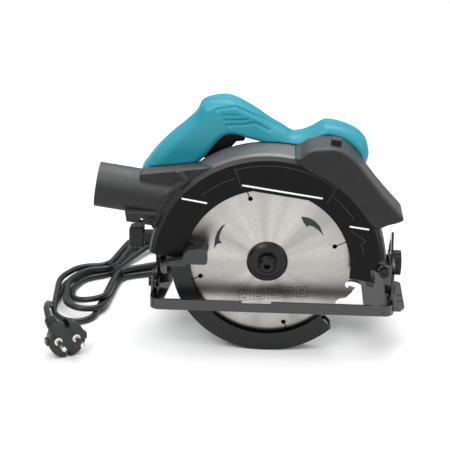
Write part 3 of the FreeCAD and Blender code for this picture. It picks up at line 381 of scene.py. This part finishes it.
def net(field, low, high, step):
    """Vertices and quads of the surface where field is zero, from low to high in mm."""
    axes = [np.arange(a, b + step, step, dtype=np.float32) for a, b in zip(low, high)]
    x, y, z = np.meshgrid(*axes, indexing="ij", sparse=True)
    v = np.broadcast_to(field(x, y, z), [len(a) for a in axes]).astype(np.float32).copy()
    for axis in range(3):                # closed at the sides of the box
        for end in (0, -1):
            index = [slice(None)] * 3
            index[axis] = end
            v[tuple(index)] = np.maximum(v[tuple(index)], 0.3 * step)
    inside = v < 0
    shape = [n - 1 for n in v.shape]
    total, count = np.zeros(shape + [3], np.float32), np.zeros(shape, np.float32)
    corner = [(i, j, k) for i in (0, 1) for j in (0, 1) for k in (0, 1)]
    take = lambda grid, c: grid[c[0]:c[0] + shape[0], c[1]:c[1] + shape[1], c[2]:c[2] + shape[2]]
    for a in corner:
        for b in corner:
            if sum(q - p for p, q in zip(a, b)) != 1 or any(q < p for p, q in zip(a, b)):
                continue
            va, vb = take(v, a), take(v, b)
            cut = take(inside, a) != take(inside, b)
            t = np.where(cut, va / np.where(cut, va - vb, 1), 0)
            for axis in range(3):
                total[..., axis] += np.where(cut, a[axis] + t * (b[axis] - a[axis]), 0)
            count += cut
    cells = count > 0
    number = np.full(shape, -1, np.int64)
    number[cells] = np.arange(cells.sum())
    base = np.argwhere(cells).astype(np.float32)
    points = (base + total[cells] / count[cells][:, None]) * step + np.array([a[0] for a in axes], np.float32)
    faces = []
    for axis in range(3):
        u, w = (axis + 1) % 3, (axis + 2) % 3
        first = [slice(None)] * 3
        first[axis] = slice(0, -1)
        second = [slice(None)] * 3
        second[axis] = slice(1, None)
        change = inside[tuple(first)] != inside[tuple(second)]
        spots = np.argwhere(change)
        spots = spots[(spots[:, u] > 0) & (spots[:, w] > 0)]
        spots = spots[(spots[:, u] < shape[u]) & (spots[:, w] < shape[w])]
        leaving = inside[tuple(spots.T)]
        quad = []
        for du, dw in ((1, 1), (0, 1), (0, 0), (1, 0)):
            cell = spots.copy()
            cell[:, u] -= du
            cell[:, w] -= dw
            quad.append(number[tuple(cell.T)])
        quad = np.stack(quad, 1)
        quad[~leaving] = quad[~leaving][:, ::-1]
        faces.append(quad)
    return points, np.concatenate(faces)


def to_row(points, level):
    """Rows of mm coordinates to the row frame in metres; level ones are tilted with the saw body."""
    p = np.array(points, float)
    if level:
        c, s = math.cos(NOSE_DOWN), math.sin(NOSE_DOWN)
        p = np.stack([p[:, 0] * c + p[:, 2] * s, p[:, 1], p[:, 2] * c - p[:, 0] * s], 1)
    return (p + np.array(ARBOR)) / 1000


def piece(name, points, faces, slot, body="saw_body", level=True, replaces=(), material=None, smooth=True):
    mesh = bpy.data.meshes.new(name)
    mesh.from_pydata(to_row(points, level).tolist(), [], [list(map(int, f)) for f in faces])
    mesh.validate()
    made = bpy.data.objects.new(name, mesh)
    bpy.context.scene.collection.objects.link(made)
    mesh.materials.append(material or MATERIALS[slot])
    if smooth:
        mesh.shade_smooth()
    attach(made, body)
    if replaces:
        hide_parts(*replaces)
    return made


def grown(name, field, low, high, step, slot, **more):
    points, faces = net(field, low, high, step)
    return piece(name, points, faces, slot, **more)


# ---- outlines shared by the handle and the dust port ----
PORT_RIM = [(-103, 88), (-89.5, 77.5), (-96, 70), (-104, 61), (-111, 44), (-114.5, 25.5)]
PORT_DECK = [(-137, 69), (-76, 86), (-60, 92), (-60, 40), (-110, 28), (-137, 34)]
PORT_AXIS_Y, PORT_AXIS_Z = 2.0, 51.7
PORT_R = 22.0
PORT_MOUTH = -178.5
SOCKET_R, THROAT_R = 18.5, 17.0          # bore of the hose socket and of the throat behind it
GUARD_EDGE = PORT_RIM + [(-114.5, 0), (-60, 0), (-60, 100), (-103, 100)]


# ---- handle ----
HANDLE_MID = 38.0
HANDLE_HALF = 19.0                      # half its width
HANDLE_EASE = 11.0                      # radius of its long edges
SEAM_HALF = 0.15                        # half the parting line between its two shells
SHELL_STEP = 1.0
MOTOR_X, MOTOR_Z = -28.0, 21.0
DEPTH_PIVOT = (114.76, 14.11)
LOCK_SPOT = (-56.0, 131.0)              # the lock-off button
HANDLE = smoothed([(-139, 60), (-134, 73), (-125, 89), (-114, 104), (-103, 117), (-94, 129), (-90, 140), (-84, 145),
                   (-77, 148), (-67, 150.5), (-56, 149.5), (-46, 146.5), (-34, 142), (-21, 136), (-9, 131),
                   (2, 125.5), (11, 127), (20, 132), (27, 137.5), (34, 142), (48, 142), (60, 139.5), (70, 135),
                   (78, 127), (81, 116), (77, 103), (60, 97), (36, 92), (27, 62), (18, 46), (-20, 42), (-80, 40),
                   (-112, 40), (-133, 46)])
GAP = smoothed([(-88, 70), (-77, 92), (-66, 111), (-56, 117.5), (-40, 116), (-24, 113.5), (-15, 104), (-11, 88),
                (-10, 70), (-48, 68)])
GRIP_LINES = [[(-67, 136.5), (-53, 138.5)], [(-65, 132), (-43, 135)],
              [(-62, 127), (-48, 129.5), (-35, 133), (-20, 127.5)]]
PANEL_LINE = [(-76, 139), (-72, 142), (-57, 146), (-30, 137.5), (-7, 129), (0, 129.5), (2, 132), (-2, 133.5)]
TRIGGER_SLOT = [(-72, 79), (-58, 89), (-47, 105), (-38, 108), (-38, 119), (-50, 123), (-62, 124), (-72, 122),
                (-91, 92), (-84, 82)]


def tilted_axis_hole(x, y, z, start, along, radius):
    """Distance to a round hole about a line."""
    direction = np.array(along, float) / np.linalg.norm(along)
    px, py, pz = x - start[0], y - start[1], z - start[2]
    t = px * direction[0] + py * direction[1] + pz * direction[2]
    return np.sqrt(np.maximum(px * px + py * py + pz * pz - t * t, 0)) - radius


def handle_field(x, y, z):
    """The whole handle, with room left for the parts that it is built round."""
    across = area_distance(HANDLE, x, z)
    gap = area_distance(GAP, x, z)
    top = np.clip((z - 118) / 14, 0, 1) * np.clip(1 - np.abs(x + 18) / 46, 0, 1)
    grip = np.clip(1 - np.abs(x + 105) / 40, 0, 1) * np.clip((z - 70) / 20, 0, 1)
    half = HANDLE_HALF - 5.5 * top - 1.2 * grip
    side = np.abs(y - HANDLE_MID) - half
    a, b = across + HANDLE_EASE, side + HANDLE_EASE
    body = np.minimum(np.maximum(a, b), 0) + np.hypot(np.maximum(a, 0), np.maximum(b, 0)) - HANDLE_EASE
    body = soft_max(body, -gap, 7.0)
    near = np.clip((HANDLE_MID - 4 - y) / 3, 0, 1)
    for line in GRIP_LINES:
        body = body + near * 1.9 * np.clip(1 - run_distance(line, x, z) / 1.7, 0, 1)
    body = body + near * 1.5 * np.clip(1 - run_distance(PANEL_LINE, x, z) / 1.5, 0, 1)
    arbor = np.hypot(x, z)
    body = np.maximum(body, -np.maximum(arbor - 118.6, y - 24.4))
    motor = np.hypot(x - MOTOR_X, z - MOTOR_Z)
    body = np.maximum(body, -np.maximum(np.minimum(arbor - 36.5, motor - 37.5), y - 60.5))
    far_out = np.hypot(x - DEPTH_PIVOT[0], z - DEPTH_PIVOT[1])
    guide = np.maximum(np.maximum(far_out - 231.2, 213.2 - far_out), np.maximum(np.abs(y - 26.6) - 3.7, z - 62))
    body = np.maximum(body, -guide)
    body = np.maximum(body, -slab(area_distance(TRIGGER_SLOT, x, z), y, HANDLE_MID - 7.6, HANDLE_MID + 7.6, 1.0))
    body = np.maximum(body, -np.maximum(np.hypot(x - LOCK_SPOT[0], z - LOCK_SPOT[1]) - 4.5, HANDLE_MID + 5 - y))
    body = np.maximum(body, -np.maximum(area_distance(HOOD, x, z) - 0.4, y - 20.4))
    port = np.hypot(y - PORT_AXIS_Y, z - PORT_AXIS_Z) - (PORT_R + 0.4)
    body = np.maximum(body, -np.maximum(port, x + 80))
    deck = area_distance([(-138, 69.4), (-76, 86.6), (-60, 92.5), (-60, 40), (-110, 27), (-138, 33)], x, z)
    body = np.maximum(body, -np.maximum(deck, y - 22.4))
    relief = tilted_axis_hole(x, y, z, (-97.5, 46.0, 80.7), (-0.18, 17.0, -28.1), 6.6)
    return np.maximum(body, -np.maximum(relief, z - 82.5))


HOOD = smoothed([(8.5, 115.5), (12, 121.5), (19, 128.5), (30, 132.5), (46, 134.5), (61, 128.5), (76, 115.5),
                 (92, 100.5), (108, 87), (121, 76), (119, 71), (108, 65.5), (97, 60), (84, 70), (70, 80), (40, 97)], 4)
HOOD_INNER_R = 109.5
HOOD_NEAR, HOOD_FAR = -20.3, 20.0


def hood_field(x, y, z):
    across = area_distance(HOOD, x, z)
    body = slab(across, y, HOOD_NEAR, HOOD_FAR, 3.2)
    arbor = np.hypot(x, z)
    body = soft_max(body, HOOD_INNER_R - arbor, 1.5)
    guard = np.maximum(arbor - (GUARD_R + GAP_FIT), GUARD_FACE - GAP_FIT - y)
    return np.maximum(body, -guard)


def build_handle():
    grown("handle_near_shell", lambda x, y, z: soft_max(handle_field(x, y, z), y - HANDLE_MID + SEAM_HALF, 1.0),
          (-143, 17, 36), (85, 40, 154), SHELL_STEP, "teal_plastic", replaces=["handle_near"])
    grown("handle_far_shell", lambda x, y, z: soft_max(handle_field(x, y, z), HANDLE_MID + SEAM_HALF - y, 1.0),
          (-143, 36, 36), (85, 59, 154), SHELL_STEP, "teal_plastic", replaces=["handle_far"])
    grown("hood_shell", hood_field, (4, -22, 55), (126, 22, 138), 0.8, "hood_grey", replaces=["chip_hood"])


build_handle()


# ---- dust port ----
def port_field(x, y, z):
    """The tube, its deck and web, and the rim that lies on the guard."""
    out = np.hypot(y - PORT_AXIS_Y, z - PORT_AXIS_Z)
    tube = np.maximum(np.maximum(out - PORT_R, PORT_MOUTH - x), x + 86)
    lifted = z - 6.5 * np.clip((22 - y) / 30, 0, 1)      # the deck stands higher along its near edge
    deck = slab(area_distance(PORT_DECK, x, lifted), y, -14, 22, 1.6)
    web = slab(area_distance([(-147, 36), (-144, 25.5), (-113, 25.5), (-110, 40)], x, z), y, -19.5, -10, 0.8)
    body = soft_min(soft_min(tube, deck, 1.5), web, 1.0)
    arbor = np.hypot(x, z)
    edge = area_distance(GUARD_EDGE, x, z)
    body = np.maximum(body, -np.maximum(edge - 5.5 + 0.5 * np.clip(y + 20, -5, 8), y + 15.9))
    rim = slab(np.maximum(np.maximum(run_distance(PORT_RIM, x, z) - 4.4, -edge), (z - 0.3 * x - 116.5) * 0.96),
               y, -18.8, -4.0, 1.2)
    body = soft_min(body, rim, 1.0)
    rounded = np.interp(y, [-16.1, -14.3, -10.1], [112.3, 116.5, 118.1])    # the guard's eased near edge
    body = np.maximum(body, -np.maximum(arbor - rounded, -16 - y))
    bore = np.maximum(out - np.where(x < PORT_MOUTH + 40, SOCKET_R, THROAT_R), x + 90)
    guard = np.maximum(arbor - (GUARD_R + GAP_FIT), y - GUARD_FACE)
    bore = np.maximum(bore, np.where(x > -122, -13.5 - y, -50))
    body = np.maximum(body, -np.maximum(bore, -guard))
    return np.maximum(body, -np.maximum(np.hypot(x + 129.5, z - 29) - 2.3, y))


grown("port_shell", port_field, (-180, -22, 22), (-66, 25, 96), 0.9, "hood_grey", replaces=["dust_port"])


# ---- small round pieces ----
def lathed(name, profile, centre, along, slot, level=False, body="saw_body", material=None, count=40):
    """A ring: its profile as (radius, distance) turned about a line, closed on itself."""
    along = Vector(along).normalized()
    side = along.orthogonal().normalized()
    other = along.cross(side)
    points, faces, n = [], [], len(profile)
    for i in range(count):
        a = 2 * math.pi * i / count
        out = side * math.cos(a) + other * math.sin(a)
        points += [tuple(Vector(centre) + out * r + along * t) for r, t in profile]
        following = (i + 1) % count
        faces += [[i * n + k, following * n + k, following * n + (k + 1) % n, i * n + (k + 1) % n] for k in range(n)]
    return piece(name, points, faces, slot, body=body, level=level, material=material)


def torus(name, centre, along, major, minor, slot, **more):
    profile = [(major + minor * math.cos(a), minor * math.sin(a)) for a in np.linspace(0, 2 * math.pi, 13)[:-1]]
    return lathed(name, profile, centre, along, slot, **more)


FLOOR = -ARBOR.z
PLUG = Vector((-197.0, -38.0, FLOOR + 19.2))
PLUG_TURN = math.radians(28)
PLUG_BACK = Vector((-math.sin(PLUG_TURN), math.cos(PLUG_TURN), 0))
PLUG_SIDE = Vector((math.cos(PLUG_TURN), math.sin(PLUG_TURN), 0))
WHITE = finish("insulator_white", (0.75, 0.74, 0.72), 0.45, vary=0.03)


def build_plug_details():
    made = []
    for side in (-1, 1):
        centre = PLUG + PLUG_SIDE * 9.5 * side
        made.append(lathed("pin_sleeve", [(2.5, -0.9), (3.4, -0.9), (4.1, -0.3), (4.1, 0.4), (2.5, 0.4)], centre,
                           PLUG_BACK, "plug_brass", material=WHITE))
        spot = PLUG + PLUG_SIDE * 19.4 * side + PLUG_BACK * 5
        lug = [spot + PLUG_SIDE * a * 1.9 + PLUG_BACK * b * 3.4 + Vector((0, 0, c * 3.2))
               for a in (-1, 1) for b in (-1, 1) for c in (-1, 1)]
        made.append(piece("plug_lug", [tuple(p) for p in lug],
                          [(0, 1, 3, 2), (4, 6, 7, 5), (0, 4, 5, 1), (2, 3, 7, 6), (0, 2, 6, 4), (1, 5, 7, 3)],
                          "rubber_black", level=False, smooth=False))
    start, tip = Vector((-209.5, -30.0, FLOOR + 26.0)), Vector((-218.8, -17.0, FLOOR + 31.8))
    for i in range(5):
        t = 0.38 + 0.13 * i
        made.append(torus("plug_rib", start.lerp(tip, t), tip - start, 6.6 - 2.4 * t, 0.9, "rubber_black"))
    return made


def build_relief_ribs():
    start, tip = Vector((-108.0, 46.0, 66.0)), Vector((-104.0, 63.0, 37.0))
    return [torus("relief_rib", start.lerp(tip, t), tip - start, 6.2 - 1.9 * t, 0.9, "rubber_black")
            for t in np.linspace(0.42, 0.94, 6)]


def build_tie():
    """Two turns of wire round the bundle."""
    middle, wide = Vector((-173.0, 157.0, FLOOR + 7.6)), Vector((-0.62, 0.78, 0))
    along = wide.cross(Vector((0, 0, 1)))
    points, faces, count, around = [], [], 128, 8
    for i in range(count):
        a = 4 * math.pi * i / count
        square = (abs(math.cos(a)) ** 4 + abs(math.sin(a)) ** 4) ** -0.25
        out = wide * math.cos(a) * square * 16.5 + Vector((0, 0, 1)) * math.sin(a) * square * 6.9
        spot = middle + out + along * (2.6 * math.sin(a / 2))
        for k in range(around):
            b = 2 * math.pi * k / around
            points.append(tuple(spot + out.normalized() * math.cos(b) * 0.9 + along * math.sin(b) * 0.9))
            j = (i + 1) % count
            beside = (k + 1) % around
            faces.append([i * around + k, j * around + k, j * around + beside, i * around + beside])
    return piece("hank_tie", points, faces, "rubber_black", level=False)


LEAD_PIECES = build_plug_details() + [build_tie()]
build_relief_ribs()


# ---- marks on the guard and the blade ----
def strip(points, width):
    """A flat ribbon in the XZ plane along the points, its ends square."""
    left, right = [], []
    for i, (x, z) in enumerate(points):
        ax, az = points[max(i - 1, 0)]
        bx, bz = points[min(i + 1, len(points) - 1)]
        run = math.hypot(bx - ax, bz - az)
        nx, nz = -(bz - az) / run * width / 2, (bx - ax) / run * width / 2
        left.append((x + nx, z + nz))
        right.append((x - nx, z - nz))
    return left + right[::-1]


def flat_marks(name, outlines, y, thick, slot, body, level, material):
    """Thin raised shapes, their outlines in the XZ plane, standing on the face at y towards the near side."""
    points, faces = [], []
    for outline in outlines:
        start, count = len(points), len(outline)
        area = sum(a[0] * b[1] - b[0] * a[1] for a, b in zip(outline, outline[1:] + outline[:1]))
        ring = outline if area > 0 else outline[::-1]
        points += [(x, y - thick, z) for x, z in ring] + [(x, y, z) for x, z in ring]
        faces.append([start + i for i in range(count)])
        faces += [[start + i, start + i + count, start + (i + 1) % count + count, start + (i + 1) % count]
                  for i in range(count)]
    return piece(name, points, faces, slot, body=body, level=level, material=material, smooth=False)


def arc(radius, a0, a1, steps, x=0.0, z=0.0):
    spots = [math.radians(a0 + (a1 - a0) * i / steps) for i in range(steps + 1)]
    return [(x + radius * math.cos(a), z + radius * math.sin(a)) for a in spots]


MARK_HIGH = 0.06                        # printed marks stand this far off the blade
STRIPE_WIDE = 1.7
ARROWS = [[(-42, 40), (-46.5, 36), (-50.5, 30), (-52.5, 23), (-53.5, 12), (-50.5, 17), (-45.5, 18.5), (-48, 21.5),
           (-48, 26.5), (-45.7, 33)],
          [(32, 49.5), (40, 48.3), (46, 45), (51, 39.5), (55.2, 29), (50, 35), (44.5, 39), (39.8, 40.2), (38.6, 38),
           (34.5, 43)]]


def build_marks():
    white = finish("mark_white", (0.8, 0.8, 0.8), 0.5, vary=0.04)
    black = finish("mark_black", (0.012, 0.012, 0.012), 0.5)
    grey = finish("mark_grey", (0.05, 0.05, 0.05), 0.5)
    stripes = [strip([(-38.5, 81.6), (40.5, 81.6)], STRIPE_WIDE),
               strip([(-94, 57.8), (-69, 57.2)], STRIPE_WIDE),
               strip([(71.8, 57.4), (91, 57.5)], STRIPE_WIDE)]
    flat_marks("guard_stripes", stripes, GUARD_FACE, 0.15, "guard_black", "saw_body", True, white)
    flat_marks("blade_arrows", ARROWS, BLADE_FACE, MARK_HIGH, "blade_steel", "spindle", False, black)
    icons = []
    for column in range(5):
        x, z, side = -22 + 14.4 * column, -38 + 1.5 * column, 11.0
        tilt = math.radians(4.5)
        square = [(x - side / 2, z - side / 2), (x + side / 2, z - side / 2), (x + side / 2, z + side / 2),
                  (x - side / 2, z + side / 2)]
        square = [((px - x) * math.cos(tilt) - (pz - z) * math.sin(tilt) + x,
                   (px - x) * math.sin(tilt) + (pz - z) * math.cos(tilt) + z) for px, pz in square]
        for a, b in zip(square, square[1:] + square[:1]):
            icons.append(strip([a, b], 0.55))
        icons.append(strip(arc(2.6, 20, 200, 8, x, z), 0.9))
        icons.append(strip([(x - 2.5, z - 3), (x + 2.5, z - 2.6)], 0.8))
    flat_marks("blade_icons", icons, BLADE_FACE, MARK_HIGH, "blade_steel", "spindle", False, grey)
    # the guard's ribs are drawn lighter grey than the guard: painted highlight along them
    edge = finish("ridge_painted_highlight", (0.02, 0.02, 0.021), 0.4, specular=0.4)
    ridges = [[(-48, 97.5), (-38.5, 78.5)], [(53, 96.5), (45.3, 77.5)], arc(107, 62, 117, 30),
              arc(99, 118, 140, 14), arc(99, 59, 41, 12), [(73.5, 53.6), (90.5, 44.8)],
              [(90.5, 44.8), (86.4, 41.8)], [(86.4, 41.8), (91, 31.2)]]
    flat_marks("guard_ridges", [strip(line, 0.7) for line in ridges], GUARD_FACE, 0.35, "guard_black", "saw_body",
               True, edge)


build_marks()


# ---- floor and light ----
def build_stage():
    mesh = bpy.data.meshes.new("floor")
    edge = 6.0
    mesh.from_pydata([(-edge, -edge, 0), (edge, -edge, 0), (edge, edge, 0), (-edge, edge, 0)], [], [(0, 1, 2, 3)])
    floor = bpy.data.objects.new("floor", mesh)
    bpy.context.scene.collection.objects.link(floor)
    n = Nodes("floor_white")
    n.link(n.ramp(n.noise(1.5), (0.3, (0.9, 0.9, 0.9)), (0.7, (0.93, 0.93, 0.93))), n.shader.inputs["Base Color"])
    n.shader.inputs["Roughness"].default_value = 0.9
    mesh.materials.append(n.material)
    world = bpy.data.worlds.new("studio")
    world.use_nodes = True
    tree = world.node_tree
    parts = tree.nodes.new("ShaderNodeSeparateXYZ")
    tree.links.new(tree.nodes.new("ShaderNodeTexCoord").outputs["Generated"], parts.inputs[0])
    sky = tree.nodes.new("ShaderNodeValToRGB")
    sky.color_ramp.elements[0].position, sky.color_ramp.elements[0].color = 0.05, (0.16, 0.16, 0.165, 1)
    sky.color_ramp.elements[1].position, sky.color_ramp.elements[1].color = 0.75, (1, 1, 1, 1)
    tree.links.new(parts.outputs["Z"], sky.inputs["Fac"])
    tree.links.new(sky.outputs["Color"], tree.nodes["Background"].inputs["Color"])
    tree.nodes["Background"].inputs["Strength"].default_value = 1.15
    bpy.context.scene.world = world
    for name, place, aim, size, watts in (
            ("key", (-0.6, -0.9, 1.2), (0.0, 0.0, 0.1), 0.7, 9.0),
            ("top", (0.1, 0.25, 1.2), (0.0, 0.0, 0.1), 0.8, 7.0),
            ("side", (1.1, -0.5, 0.6), (0.0, 0.0, 0.1), 0.6, 3.0)):
        data = bpy.data.lights.new(name, "AREA")
        data.shape, data.size, data.energy = "SQUARE", size, watts
        light = bpy.data.objects.new(name, data)
        bpy.context.scene.collection.objects.link(light)
        light.matrix_world = Matrix.Translation(place) @ (
            Vector(place) - Vector(aim)).to_track_quat("Z", "Y").to_matrix().to_4x4()


build_stage()
